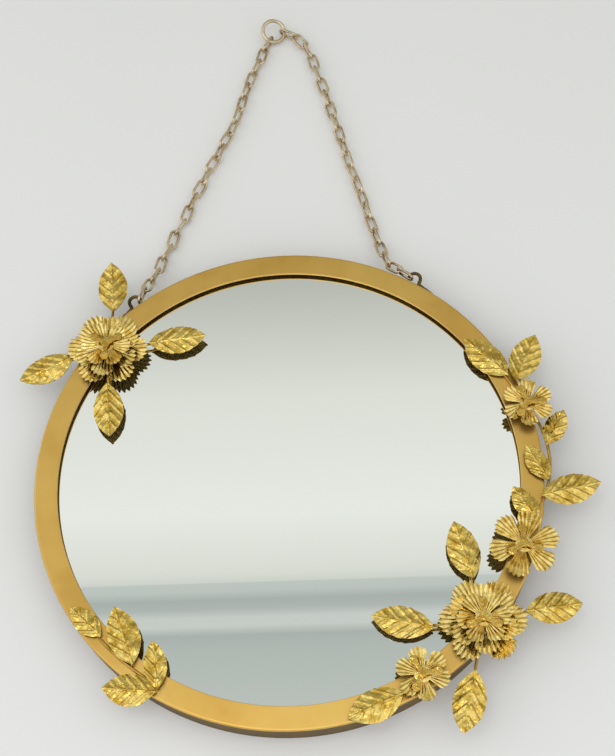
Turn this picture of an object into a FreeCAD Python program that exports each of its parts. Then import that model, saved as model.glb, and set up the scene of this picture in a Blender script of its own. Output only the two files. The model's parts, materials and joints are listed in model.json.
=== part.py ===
import FreeCAD, Part
import math
import os
import Sketcher
from FreeCAD import Placement, Rotation, Vector

# Round wall mirror lying on its back: the back of the rim is the plane z = 0, +Z comes out of the
# glass, and +Y points from the centre of the glass towards the hanging ring.

doc = FreeCAD.newDocument("round_mirror")
sheet = doc.addObject("Spreadsheet::Sheet", "sizes")

# Driving sizes in millimetres
DRIVING_SIZES = [
    ("frame_radius", 175),
    ("band_width", 16),
    ("band_thickness", 1.5),
    ("band_overhang", 0.8),
    ("rim_depth", 22.5),
    ("rim_thickness", 1.5),
    ("packing_thickness", 3),
    ("packing_setback", 3),
    ("glass_thickness", 3),
    ("board_thickness", 3),
    ("pane_clearance", 0.6),
    ("clip_width", 14),
    ("clip_reach", 9),
    ("clip_drop", 8),
    ("clip_thickness", 1),
    ("seat_gap", 0.1),
    ("cut_overrun", 2),
    ("hook_wire", 2.4),
    ("hook_loop_radius", 4.2),
    ("hook_drop", 3),
    ("hook_strap_length", 14),
    ("chain_wire", 2.1),
    ("link_width", 8.6),
    ("chain_pitch", 12.4),
    ("link_gap", 0.5),
    ("ring_radius", 9),
    ("ring_wire", 3),
    ("ring_gap", 1.1),
    ("large_petal_radius", 29.5),
    ("medium_petal_radius", 24),
    ("small_petal_radius", 18.2),
    ("petal_thickness", 0.7),
    ("pleat_height", 1.1),
    ("hub_thickness", 1.8),
    ("hub_radius", 6.5),
    ("post_radius", 1.5),
    ("post_clearance", 0.1),
    ("layered_flower_lift", 2.8),
    ("single_flower_lift", 5),
    ("layer_step", 3),
    ("right_flower_gap", 5.3),
    ("bottom_flower_gap", 5.8),
    ("stamen_lift", 2.6),
    ("stamen_reach", 10),
    ("stamen_knob_radius", 2.7),
    ("stamen_arm_width", 3.6),
    ("stamen_thickness", 1),
    ("large_leaf_length", 41),
    ("large_leaf_width", 21),
    ("large_leaf_rise", 1.2),
    ("small_leaf_length", 28.5),
    ("small_leaf_width", 15),
    ("small_leaf_rise", 0.8),
    ("leaf_thickness", 0.7),
    ("rib_radius", 0.8),
    ("leaf_seat", 6),
    ("leaf_tier", 1.6),
    ("stem_wire", 1.4),
]
for row, (alias, value) in enumerate(DRIVING_SIZES, start=1):
    sheet.set(f"A{row}", alias)
    sheet.set(f"B{row}", str(value))
    sheet.setAlias(f"B{row}", alias)
doc.recompute()


def size(alias):
    return float(sheet.get(alias))


# Expressions that several pieces share
BAND_BACK = "sizes.rim_depth"
RIM_OUTER = "(sizes.frame_radius - sizes.band_overhang)"
RIM_INNER = f"({RIM_OUTER} - sizes.rim_thickness)"
PANE_RADIUS = f"({RIM_INNER} - sizes.pane_clearance)"
WINDOW_RADIUS = "(sizes.frame_radius - sizes.band_width)"
GLASS_FRONT = f"({BAND_BACK} - sizes.packing_thickness)"
BOARD_FRONT = f"({GLASS_FRONT} - sizes.glass_thickness)"
BOARD_BACK = f"({BOARD_FRONT} - sizes.board_thickness)"

band_front = size("rim_depth") + size("band_thickness")
rim_outer = size("frame_radius") - size("band_overhang")
nodes = []


def keep(label, thing):
    thing.Label = label
    nodes.append(thing)
    return thing


def bind(thing, **expressions):
    for name, text in expressions.items():
        thing.setExpression(name.replace("__", "."), text)
    return thing


def polar(radius, degrees, height=0.0):
    angle = math.radians(degrees)
    return Vector(radius * math.cos(angle), radius * math.sin(angle), height)


def add(kind, name, **expressions):
    return bind(doc.addObject(kind, name), **expressions)


# Flat rings and discs: one sketch of circles, padded


def disc_body(label, radii, thickness, height):
    body = doc.addObject("PartDesign::Body", label)
    plane = next(f for f in body.Origin.OriginFeatures if f.Role == "XY_Plane")
    sketch = body.newObject("Sketcher::SketchObject", label + "_outline")
    sketch.AttachmentSupport = [(plane, "")]
    sketch.MapMode = "FlatFace"
    for radius in radii:
        circle = sketch.addGeometry(Part.Circle(Vector(), Vector(0, 0, 1), 1), False)
        sketch.addConstraint(Sketcher.Constraint("Coincident", circle, 3, -1, 1))
        sized = sketch.addConstraint(Sketcher.Constraint("Radius", circle, 1))
        sketch.setExpression(f"Constraints[{sized}]", radius)
    pad = body.newObject("PartDesign::Pad", label + "_pad")
    pad.Profile = sketch
    bind(pad, Length=thickness)
    body.Tip = pad
    bind(body, Placement__Base__z=height)
    return keep(label, body)


disc_body("frame_band", ["sizes.frame_radius", WINDOW_RADIUS], "sizes.band_thickness", BAND_BACK)
disc_body("frame_rim", [RIM_OUTER, RIM_INNER], "sizes.rim_depth", "0")
disc_body("packing_ring", [PANE_RADIUS, f"({WINDOW_RADIUS} + sizes.packing_setback)"],
          "sizes.packing_thickness", GLASS_FRONT)
disc_body("mirror_glass", [PANE_RADIUS], "sizes.glass_thickness", BOARD_FRONT)
disc_body("backing_board", [PANE_RADIUS], "sizes.board_thickness", BOARD_BACK)

# Bent clips: a leg against the inside of the rim and a foot under the backing board

CLIP_COUNT = 8
clips = []
rim_inner = rim_outer - size("rim_thickness")
half_clip = size("clip_width") / 2
leg_face = math.sqrt((rim_inner - size("seat_gap")) ** 2 - half_clip ** 2)
for number in range(CLIP_COUNT):
    leg = add("Part::Box", f"clip_leg_{number}", Length="sizes.clip_thickness",
              Width="sizes.clip_width", Height="sizes.clip_drop")
    leg.Placement.Base = Vector(leg_face - size("clip_thickness"), -half_clip, -size("clip_drop"))
    foot = add("Part::Box", f"clip_foot_{number}", Length="sizes.clip_reach",
               Width="sizes.clip_width", Height="sizes.clip_thickness")
    foot.Placement.Base = Vector(leg_face - size("clip_reach"), -half_clip, -size("clip_thickness"))
    clip = doc.addObject("Part::Fuse", f"clip_{number}")
    clip.Base = leg
    clip.Tool = foot
    clip.Placement.Rotation = Rotation(Vector(0, 0, 1), (number + 1 / 2) * 360 / CLIP_COUNT)
    bind(clip, Placement__Base__z=BOARD_BACK)
    clips.append(clip)
clip_group = doc.addObject("Part::Compound", "backing_clips")
clip_group.Links = clips
keep("backing_clips", clip_group)


# Round wire pieces


def rod(name, start, end, wire):
    piece = add("Part::Cylinder", name, Radius=f"sizes.{wire} / 2")
    piece.Height = (end - start).Length
    piece.Placement = Placement(start, Rotation(Vector(0, 0, 1), end - start))
    return piece


def bent_wire(name, centre, radius, start_angle, sweep, wire):
    piece = add("Part::Torus", name, Radius2=f"sizes.{wire} / 2")
    piece.Radius1 = radius
    piece.Angle3 = sweep
    piece.Placement = Placement(centre, Rotation(Vector(0, 0, 1), start_angle))
    return piece


# Hanger hooks: a strap brazed along the outside of the rim that curls out into a loop.
# The right hook curls the other way round from the left one.

HOOK_ANGLES = {"left": 124.0, "right": 54.2}
LOOP_SWEEP = 285
hook_height = band_front - size("hook_drop")
strap_radius = rim_outer + size("hook_wire") / 2 + size("seat_gap")
loop_radius = size("hook_loop_radius")
strap_sweep = math.degrees(size("hook_strap_length") / strap_radius)
hook_centres = {}
for side, angle in HOOK_ANGLES.items():
    strap_start = angle if side == "left" else angle - strap_sweep
    strap = bent_wire(side + "_hook_strap", Vector(0, 0, hook_height), strap_radius, strap_start,
                      strap_sweep, "hook_wire")
    centre = polar(strap_radius + loop_radius, angle, hook_height)
    loop_start = angle + 180 if side == "right" else angle + 180 - LOOP_SWEEP
    loop = bent_wire(side + "_hook_loop", centre, loop_radius, loop_start, LOOP_SWEEP, "hook_wire")
    hook = doc.addObject("Part::Fuse", side + "_hanger_hook")
    hook.Base = strap
    hook.Tool = loop
    keep(side + "_hanger_hook", hook)
    hook_centres[side] = centre

# Chain: one oval link of round wire, copied along two strands of contact points

link_reach = (size("chain_pitch") + size("chain_wire") + size("link_gap")) / 2
bend_radius = (size("link_width") - size("chain_wire")) / 2
bend_place = link_reach - bend_radius
link_pieces = []
for end, start_angle in ((1, -90), (-1, 90)):
    link_pieces.append(bent_wire(f"link_bend_{start_angle}", Vector(end * bend_place, 0, 0), bend_radius,
                                 start_angle, 180, "chain_wire"))
    side_start = Vector(-bend_place, end * bend_radius, 0)
    side_end = Vector(bend_place, end * bend_radius, 0)
    link_pieces.append(rod(f"link_side_{start_angle}", side_start, side_end, "chain_wire"))
chain_link = doc.addObject("Part::MultiFuse", "chain_link")
chain_link.Shapes = link_pieces
doc.recompute()

LINK_COUNT = 22
GROUP_SIZES = (3, 4, 4, 4, 4, 3)
# Turn of each link from its strand's straight line, from the hook to the ring
LINK_TURNS = {
    "left": (5, 2, 0, 9, -5, 6, -9, 3, 1, -6, 4, -9, 3, -7, 1, 4, 9, 3, 4, -4, 6, -8),
    "right": (22, 20, -3, -5, -6, -5, -7, -7, -4, -4, -7, -7, -7, -6, -6, -8, -2, -6, -5, 4, 16, 42),
}
# Share of the drop from the hooks to the floor that each of the first links takes
DROP_SHARES = (0.24, 0.33, 0.24, 0.13, 0.06)
LOOP_CONTACT_ANGLES = {"left": 30, "right": 150}
RING_SPREAD = 106
RING_HEADING = 31
RING_TILT = 24
FIRST_ROLL = 90
TOTAL_TWIST = 90

wire_step = (size("chain_wire") + size("link_gap")) / 2
hook_step = (size("hook_wire") + size("link_gap")) / 2
ring_step = size("ring_gap") + (size("ring_wire") - size("link_gap")) / 2
floor_height = size("link_width") / 2 + size("seat_gap")
drop = (hook_height - floor_height) / (1 - DROP_SHARES[0] * hook_step / size("chain_pitch"))


def link_slope(number):
    share = DROP_SHARES[number] if number < len(DROP_SHARES) else 0
    return -math.asin(share * drop / size("chain_pitch"))


def strand_steps(side, heading):
    """Vectors from contact to contact of one strand, first the one at the hook."""
    steps = []
    for number, turn in enumerate(LINK_TURNS[side]):
        slope = link_slope(number)
        flat = polar(math.cos(slope), heading + turn)
        steps.append(Vector(flat.x, flat.y, math.sin(slope)))
    return steps


def strand_vector(side, heading):
    """From the wire of the hook's loop to the wire of the ring."""
    steps = strand_steps(side, heading)
    total = steps[0] * -hook_step - steps[-1] * ring_step
    for step in steps:
        total = total + step * size("chain_pitch")
    return total


hook_points = {}
for side, angle in LOOP_CONTACT_ANGLES.items():
    hook_points[side] = hook_centres[side] + polar(loop_radius, angle)

# The ring hangs where the two strands meet: two circles round the hooks, moved together by the
# distance between the strands' places on the ring
ring_chord = 2 * size("ring_radius") * math.sin(math.radians(RING_SPREAD / 2))
chord = polar(ring_chord, RING_HEADING)
spans = {side: strand_vector(side, 0) for side in hook_points}
reach = {side: math.hypot(span.x, span.y) for side, span in spans.items()}
left_foot = hook_points["left"]
right_foot = hook_points["right"] - chord
base = Vector(right_foot.x - left_foot.x, right_foot.y - left_foot.y, 0)
along = (reach["left"] ** 2 - reach["right"] ** 2 + base.Length ** 2) / (2 * base.Length)
rise = math.sqrt(reach["left"] ** 2 - along ** 2)
base_way = base / base.Length
meeting = left_foot + base_way * along + Vector(-base_way.y, base_way.x, 0) * rise
ring_points = {"left": meeting, "right": meeting + chord}

contacts = {}
for side, point in hook_points.items():
    to_ring = ring_points[side] - point
    heading = math.degrees(math.atan2(to_ring.y, to_ring.x) - math.atan2(spans[side].y, spans[side].x))
    steps = strand_steps(side, heading)
    place = point - steps[0] * hook_step
    contacts[side] = [place]
    first_link = 0
    for group, group_size in enumerate(GROUP_SIZES, start=1):
        links = []
        for number in range(first_link, first_link + group_size):
            step = steps[number]
            middle = place + step * (size("chain_pitch") / 2)
            level = Vector(-step.y, step.x, 0)
            roll = FIRST_ROLL + number * (90 + TOTAL_TWIST / (LINK_COUNT - 1))
            stance = Rotation(step, level, Vector(), "XYZ") * Rotation(Vector(1, 0, 0), roll)
            links.append(chain_link.Shape.copy())
            links[-1].Placement = Placement(middle, stance)
            place = place + step * size("chain_pitch")
        contacts[side].append(place)
        first_link += group_size
        strand = doc.addObject("Part::Feature", f"{side}_chain_{group}")
        strand.Shape = Part.makeCompound(links)
        keep(f"{side}_chain_{group}", strand)
    ring_points[side] = place - steps[-1] * ring_step

# Hanging ring: tilted about the line through its two links
ring_way = ring_points["right"] - ring_points["left"]
ring_way.normalize()
ring_side = Vector(-ring_way.y, ring_way.x, 0)
ring_middle = (ring_points["left"] + ring_points["right"]) / 2
to_centre = size("ring_radius") * math.cos(math.radians(RING_SPREAD / 2))
tilt = math.radians(RING_TILT)
ring_out = ring_side * math.cos(tilt) + Vector(0, 0, 1) * math.sin(tilt)
ring = add("Part::Torus", "hanging_ring", Radius1="sizes.ring_radius", Radius2="sizes.ring_wire / 2")
ring.Placement = Placement(ring_middle + ring_out * to_centre, Rotation(ring_way, ring_out, Vector(), "XYZ"))
keep("hanging_ring", ring)

# Leaves: a pointed oval cut from an arched sheet, with a raised midrib along its crown.
# Each is placed by its foot. It rests with its midrib along a stem, or is raised by a share of its
# own arch where its edges lie across a wire, and by a tier where it lies over another leaf:
# (stamping, foot radius share, foot angle, heading, length share, arch share, tiers)
LEAF_PLACE_SHARES = {
    "upper_left_leaf_top": ("large", 1.0350, 129.71, 90.7, 1, 0, 0),
    "upper_left_leaf_left": ("large", 1.0290, 144.11, 201.5, 1, 0, 0),
    "upper_left_leaf_right": ("large", 0.8204, 129.38, 2.2, 1, 0, 0),
    "upper_left_leaf_bottom": ("large", 0.8394, 146.14, 270.8, 1, 0, 0),
    "pair_leaf_inner": ("large", 0.9747, 19.78, 130.1, 1, 0, 0),
    "pair_leaf_outer": ("large", 0.9850, 17.54, 60.5, 0.94, 1, 1),
    "vine_leaf_upper": ("small", 1.0182, 0.73, 56.0, 1, 1, 0),
    "vine_leaf_inner": ("small", 1.0136, 352.41, 112.7, 1, 1, 0),
    "vine_leaf_outer": ("large", 0.9878, 348.63, 7.4, 1, 0.4, 0),
    "vine_leaf_lower": ("small", 0.9834, 342.49, 117.0, 1, 1, 0),
    "lower_right_leaf_top": ("large", 0.8278, 323.01, 100.5, 1, 0, 0),
    "lower_right_leaf_left": ("large", 0.8302, 306.18, 163.7, 1, 0, 0),
    "lower_right_leaf_right": ("large", 1.0562, 322.57, 1.7, 0.9, 0, 0),
    "lower_right_leaf_bottom": ("large", 1.0489, 306.30, 251.4, 1, 0, 0),
    "bottom_leaf": ("large", 0.9654, 291.27, 199.5, 0.95, 0, 0),
    "lower_left_leaf_1": ("small", 0.9469, 217.81, 132.2, 1, 0, 0),
    "lower_left_leaf_2": ("large", 0.9437, 228.05, 105.2, 1, 1, 0),
    "lower_left_leaf_3": ("small", 0.9682, 234.51, 84.4, 1, 0, 1),
    "lower_left_leaf_4": ("large", 0.9753, 234.53, 175.6, 0.78, 0.5, 0),
}
leaf_height = band_front + size("stem_wire") + 2 * size("seat_gap")
leaf_bases = {}
leaf_raise = {}


def leaf(label, stamping, length_share, foot, heading, height):
    long = f"(sizes.{stamping}_leaf_length * {length_share})"
    wide = f"sizes.{stamping}_leaf_width"
    arch = f"sizes.{stamping}_leaf_rise"
    flank = f"(({long} ^ 2 + {wide} ^ 2) / (4 * {wide}))"
    bow = f"(({wide} ^ 2 / 4 + {arch} ^ 2) / (2 * {arch}))"
    flanks = []
    for side, sign in (("left", ""), ("right", "-")):
        flanks.append(add("Part::Cylinder", f"{label}_{side}_flank", Radius=flank,
                          Height=f"{arch} + sizes.leaf_thickness + sizes.rib_radius + 2 * sizes.cut_overrun",
                          Placement__Base__x=f"{long} / 2",
                          Placement__Base__y=f"{sign}({flank} - {wide} / 2)",
                          Placement__Base__z=f"-{arch} - sizes.cut_overrun"))
    outline = doc.addObject("Part::Common", label + "_outline")
    outline.Base, outline.Tool = flanks
    along_x = Rotation(Vector(0, 0, 1), Vector(1, 0, 0))
    sheets = []
    for name, radius, overrun in (("top", f"{bow} + sizes.leaf_thickness", "0"),
                                  ("under", bow, "sizes.cut_overrun")):
        arched = doc.addObject("Part::Cylinder", f"{label}_{name}")
        arched.Placement.Rotation = along_x
        sheets.append(bind(arched, Radius=radius, Height=f"{long} + 2 * {overrun}",
                           Placement__Base__x=f"-{overrun}", Placement__Base__z=f"-{bow}"))
    plate = doc.addObject("Part::Cut", label + "_plate")
    plate.Base, plate.Tool = sheets
    rib = doc.addObject("Part::Cone", label + "_rib")
    rib.Placement.Rotation = along_x
    bind(rib, Radius1="sizes.rib_radius", Radius2="sizes.rib_radius / 2", Height=long,
         Placement__Base__z="sizes.leaf_thickness")
    under = doc.addObject("Part::Cut", label + "_rib_top")
    under.Base = rib
    under.Tool = sheets[1]
    ribbed = doc.addObject("Part::Fuse", label + "_ribbed")
    ribbed.Base = plate
    ribbed.Tool = under
    piece = doc.addObject("Part::Common", label)
    piece.Base = ribbed
    piece.Tool = outline
    piece.Placement = Placement(foot + Vector(0, 0, height), Rotation(Vector(0, 0, 1), heading))
    leaf_bases[label] = foot
    return keep(label, piece)


for label, place in LEAF_PLACE_SHARES.items():
    stamping, foot_share, foot_angle, heading, length_share, arch_share, tiers = place
    foot = polar(size("frame_radius") * foot_share, foot_angle)
    leaf_raise[label] = size(f"{stamping}_leaf_rise") * arch_share + size("leaf_tier") * tiers
    leaf(label, stamping, length_share, foot, heading, leaf_height + leaf_raise[label])

# Flowers: pleated petal layers on a centre post, under a three-armed stamen
PETAL_COUNT = 6
PLEATS = 5
PETAL_HALF_ANGLE = 27
PETAL_SLOPE = 6
INNER_PLEAT_SHARE = 0.25


def pleat_wire(place, half_width, pleat, lift):
    """Closed zigzag outline of a pleated sheet, square to the petal's length."""
    ridge = []
    for number in range(2 * PLEATS + 1):
        across = half_width * (number / PLEATS - 1)
        ridge.append(Vector(place, across, lift + pleat * (1 if number % 2 else -1) / 2))
    thick = Vector(0, 0, size("petal_thickness") / 2)
    outline = [point + thick for point in ridge] + [point - thick for point in reversed(ridge)]
    return Part.makePolygon(outline + outline[:1])


def petal_layer(label, stamping, centre, turn):
    radius = size(f"{stamping}_petal_radius")
    spread = math.tan(math.radians(PETAL_HALF_ANGLE))
    slope = math.tan(math.radians(PETAL_SLOPE))
    inner = (size("post_radius") + size("hub_radius")) / 2
    near = pleat_wire(inner, inner * spread, size("pleat_height") * INNER_PLEAT_SHARE, 0)
    far = pleat_wire(radius, radius * spread, size("pleat_height") * 2, (radius - inner) * slope)
    fan = Part.makeLoft([near, far], True, True)
    tall = radius
    rounding = Part.makeCylinder(radius / 2, tall, Vector(radius / 2, 0, -tall / 2))
    petal = fan.common(rounding)
    hub_low = Vector(0, 0, -size("hub_thickness") / 2)
    hub = Part.makeCylinder(size("hub_radius"), size("hub_thickness"), hub_low)
    petals = []
    for number in range(PETAL_COUNT):
        copy = petal.copy()
        copy.rotate(Vector(), Vector(0, 0, 1), number * 360 / PETAL_COUNT)
        petals.append(copy)
    bore = Part.makeCylinder(size("post_radius") + size("post_clearance"), tall, Vector(0, 0, -tall / 2))
    layer = doc.addObject("Part::Feature", label)
    layer.Shape = hub.fuse(petals).cut(bore)
    layer.Placement = Placement(centre, Rotation(Vector(0, 0, 1), turn))
    return keep(label, layer)


def stamen(label, centre, turn):
    pieces = [add("Part::Cylinder", label + "_boss", Radius="sizes.stamen_knob_radius",
                  Height="sizes.stamen_thickness")]
    for number in range(3):
        heading = number * 120
        knob = add("Part::Cylinder", f"{label}_knob_{number}", Radius="sizes.stamen_knob_radius",
                   Height="sizes.stamen_thickness")
        knob.Placement.Base = polar(size("stamen_reach"), heading)
        arm = add("Part::Box", f"{label}_arm_{number}", Length="sizes.stamen_reach",
                  Width="sizes.stamen_arm_width", Height="sizes.stamen_thickness")
        arm.Placement = Placement(polar(size("stamen_arm_width") / 2, heading - 90),
                                  Rotation(Vector(0, 0, 1), heading))
        pieces += [knob, arm]
    piece = doc.addObject("Part::MultiFuse", label)
    piece.Shapes = pieces
    piece.Placement = Placement(centre, Rotation(Vector(0, 0, 1), turn))
    return keep(label, piece)


# (centre radius share, centre angle, petal turns from the back layer to the front, stamen turn)
FLOWER_PLACE_SHARES = {
    "upper_left_flower": (0.928, 138.0, {"large": -7, "medium": 20, "small": -10}, 24),
    "upper_right_flower": (0.990, 11.1, {"small": 24}, -7),
    "lower_right_flower": (0.946, 315.4, {"large": -5, "medium": 30, "small": 0}, 86),
}
# These stand beside the lower right flower, a gap from tip to tip:
# (centre radius share, way round, petal turns, stamen turn)
BESIDE_PLACE_SHARES = {
    "right_flower": (0.951, 1, {"medium": 9}, 90),
    "bottom_flower": (0.946, -1, {"small": 37}, 0),
}
host_share, host_angle, host_layers, host_turn = FLOWER_PLACE_SHARES["lower_right_flower"]
for name, (centre_share, way, layers, stamen_turn) in BESIDE_PLACE_SHARES.items():
    reaches = [size(f"{next(iter(kinds))}_petal_radius") for kinds in (host_layers, layers)]
    apart = (sum(reaches) + size(name + "_gap")) / size("frame_radius")
    cosine = (host_share ** 2 + centre_share ** 2 - apart ** 2) / (2 * host_share * centre_share)
    angle = host_angle + way * math.degrees(math.acos(cosine))
    FLOWER_PLACE_SHARES[name] = (centre_share, angle, layers, stamen_turn)
LAYER_NAMES = {"large": "back_petals", "medium": "middle_petals", "small": "front_petals"}
flower_centres = {}
posts = []
for name, (centre_share, angle, layers, stamen_turn) in FLOWER_PLACE_SHARES.items():
    foot = polar(size("frame_radius") * centre_share, angle, band_front)
    flower_centres[name] = Vector(foot.x, foot.y, 0)
    lift = size("layered_flower_lift") if len(layers) > 1 else size("single_flower_lift")
    hub_middle = foot + Vector(0, 0, lift + size("hub_thickness") / 2)
    for number, (stamping, turn) in enumerate(layers.items()):
        layer_name = LAYER_NAMES[stamping] if len(layers) > 1 else "petals"
        top_hub = hub_middle + Vector(0, 0, number * size("layer_step"))
        petal_layer(f"{name}_{layer_name}", stamping, top_hub, turn)
    stamen_foot = top_hub + Vector(0, 0, size("stamen_lift"))
    stamen(name + "_stamen", stamen_foot, stamen_turn)
    post = add("Part::Cylinder", name + "_post", Radius="sizes.post_radius")
    post.Height = stamen_foot.z - foot.z
    post.Placement.Base = foot
    posts.append(post)
post_group = doc.addObject("Part::Compound", "flower_posts")
post_group.Links = posts
keep("flower_posts", post_group)

# Stems: wires that lie on the band, from the flowers' posts to the leaves
stem_height = band_front + size("stem_wire") / 2 + size("seat_gap")


def seat_under(label):
    """Where a stem ends under the midrib of a leaf."""
    heading = LEAF_PLACE_SHARES[label][3]
    return leaf_bases[label] + polar(size("leaf_seat"), heading)


def wire_to_leaf(label, start):
    up = Vector(0, 0, stem_height + leaf_raise[label])
    return rod(f"{label}_stem", start + up, seat_under(label) + up, "stem_wire")


def stem_to_leaf(flower, label):
    centre = flower_centres[flower]
    way = seat_under(label) - centre
    way.normalize()
    return wire_to_leaf(label, centre + way * (size("post_radius") + size("seat_gap")))


STEM_GROUPS = {
    "upper_left_stems": ("upper_left_flower", "upper_left_leaf_"),
    "lower_right_stems": ("lower_right_flower", "lower_right_leaf_"),
}
for group_label, (flower, leaf_prefix) in STEM_GROUPS.items():
    wires = [stem_to_leaf(flower, label) for label in leaf_bases if label.startswith(leaf_prefix)]
    group = doc.addObject("Part::Compound", group_label)
    group.Links = wires
    keep(group_label, group)
short_stems = [stem_to_leaf("upper_right_flower", "pair_leaf_inner"),
               stem_to_leaf("upper_right_flower", "pair_leaf_outer"),
               stem_to_leaf("bottom_flower", "bottom_leaf")]

# The vine bows out past the edge of the band between its ends; the lower left stem follows the band
VINE_SHARES = ((1.003, 8.4), (1.025, 357.5), (0.970, 344.0))
vine_points = [polar(size("frame_radius") * share, angle) for share, angle in VINE_SHARES]
vine_circle = Part.ArcOfCircle(*vine_points)
vine_centre = vine_circle.Center
vine_angles = []
for point in (vine_points[-1], vine_points[0]):
    spoke = point - vine_centre
    vine_angles.append(math.degrees(math.atan2(spoke.y, spoke.x)))
keep("vine_stem", bent_wire("vine_stem", vine_centre + Vector(0, 0, stem_height), vine_circle.Radius,
                            vine_angles[0], vine_angles[1] - vine_angles[0], "stem_wire"))
LOWER_LEFT_STEM_SHARE = 0.955
LOWER_LEFT_STEM_ANGLES = (217.5, 235.5)
lower_left_radius = size("frame_radius") * LOWER_LEFT_STEM_SHARE
short_stems.append(bent_wire("lower_left_stem", Vector(0, 0, stem_height), lower_left_radius,
                             LOWER_LEFT_STEM_ANGLES[0],
                             LOWER_LEFT_STEM_ANGLES[1] - LOWER_LEFT_STEM_ANGLES[0], "stem_wire"))
for label in ("lower_left_leaf_1", "lower_left_leaf_2", "lower_left_leaf_4"):
    foot = leaf_bases[label]
    beside = size("stem_wire") + size("seat_gap")
    if foot.Length < lower_left_radius:
        beside = -beside
    short_stems.append(wire_to_leaf(label, foot * ((lower_left_radius + beside) / foot.Length)))
short_group = doc.addObject("Part::Compound", "short_stems")
short_group.Links = short_stems
keep("short_stems", short_group)

doc.recompute()
for thing in doc.Objects:
    if "Invalid" in thing.State or "Error" in thing.State:
        raise RuntimeError(f"{thing.Label} failed: {thing.State}")
for node in nodes:
    if node.Shape.isNull() or not node.Shape.isValid():
        raise RuntimeError(f"{node.Label} has no valid shape")

os.makedirs("parts", exist_ok=True)
for node in nodes:
    node.Shape.exportStep(f"parts/{node.Label}.step")


def show(point):
    return ", ".join(f"{value:.4f}" for value in point)


# Hinge lines of the chain, each through a left and a right point
print("hinge 1:", show(hook_points["left"]), "|", show(hook_points["right"]))
for group in range(1, len(GROUP_SIZES)):
    print(f"hinge {group + 1}:", show(contacts["left"][group]), "|", show(contacts["right"][group]))
print("ring hinge:", show(ring_points["left"]), "|", show(ring_points["right"]))
print("ring centre:", show(ring.Placement.Base))
print(len(nodes), "nodes written")
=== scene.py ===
import json
import math
import random

import bmesh
import bpy
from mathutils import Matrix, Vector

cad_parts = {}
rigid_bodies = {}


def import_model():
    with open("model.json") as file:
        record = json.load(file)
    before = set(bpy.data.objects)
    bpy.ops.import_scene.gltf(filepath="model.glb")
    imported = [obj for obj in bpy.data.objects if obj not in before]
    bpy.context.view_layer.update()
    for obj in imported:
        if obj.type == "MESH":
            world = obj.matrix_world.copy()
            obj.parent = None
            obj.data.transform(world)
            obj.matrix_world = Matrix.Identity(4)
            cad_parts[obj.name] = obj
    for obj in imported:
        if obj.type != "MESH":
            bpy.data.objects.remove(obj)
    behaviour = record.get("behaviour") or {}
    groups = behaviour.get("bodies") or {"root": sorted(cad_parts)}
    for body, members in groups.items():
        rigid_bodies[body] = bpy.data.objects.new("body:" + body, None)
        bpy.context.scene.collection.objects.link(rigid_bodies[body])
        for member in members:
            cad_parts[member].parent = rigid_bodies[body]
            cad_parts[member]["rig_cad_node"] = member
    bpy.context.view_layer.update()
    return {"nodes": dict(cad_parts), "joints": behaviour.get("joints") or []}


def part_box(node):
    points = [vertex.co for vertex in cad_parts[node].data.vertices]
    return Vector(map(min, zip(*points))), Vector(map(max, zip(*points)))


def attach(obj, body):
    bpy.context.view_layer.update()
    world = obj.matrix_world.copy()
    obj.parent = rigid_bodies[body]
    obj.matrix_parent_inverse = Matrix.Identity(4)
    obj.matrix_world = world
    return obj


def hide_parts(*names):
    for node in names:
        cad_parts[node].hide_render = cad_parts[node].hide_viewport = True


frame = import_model()
mm = 0.001
bendSeed = 7  # the petals' uneven bends
random.seed(bendSeed)
print("frame loaded:", len(frame["nodes"]), "nodes")


# small helpers for working by hand in edit mode

def startPiece(piece):
    bpy.ops.object.select_all(action="DESELECT")
    piece.select_set(True)
    bpy.context.view_layer.objects.active = piece


def openEdit(piece):
    startPiece(piece)
    bpy.ops.object.mode_set(mode="EDIT")
    bpy.ops.mesh.select_mode(type="VERT")


def closeEdit():
    bpy.ops.object.mode_set(mode="OBJECT")


def pick(piece, wanted):
    bpy.ops.mesh.select_all(action="DESELECT")
    mesh = bmesh.from_edit_mesh(piece.data)
    for vert in mesh.verts:
        vert.select = wanted(vert.co)
    mesh.select_flush_mode()
    bmesh.update_edit_mesh(piece.data)


def placePiece(piece, place, turn, length=1):
    startPiece(piece)
    piece.location = place
    piece.rotation_euler = (0, 0, math.radians(turn))
    piece.scale = (length, 1, 1)
    bpy.ops.object.transform_apply(location=True, rotation=True, scale=True)


def applyModifier(piece, kind, **settings):
    startPiece(piece)
    modifier = piece.modifiers.new(kind.lower(), kind)
    for name, value in settings.items():
        setattr(modifier, name, value)
    bpy.ops.object.modifier_apply(modifier=modifier.name)


def middleOf(node):
    low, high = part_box(node)
    return (low.x + high.x) / 2, (low.y + high.y) / 2


def finishPiece(piece, name, material, nodes, smooth, body="mirror"):
    startPiece(piece)
    bpy.ops.object.shade_smooth_by_angle(angle=math.radians(smooth))
    piece.name = name
    piece.data.name = name
    piece.data.materials.clear()
    piece.data.materials.append(material)
    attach(piece, body)
    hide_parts(*nodes)


# materials: colours are sRGB hex, pattern sizes are in millimetres

def colour(text):
    parts = [int(text[i:i + 2], 16) / 255 for i in (1, 3, 5)]
    linear = [c / 12.92 if c <= 0.04045 else ((c + 0.055) / 1.055) ** 2.4 for c in parts]
    return (*linear, 1)


def perMetre(size):
    return 1 / (size * mm)


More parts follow.
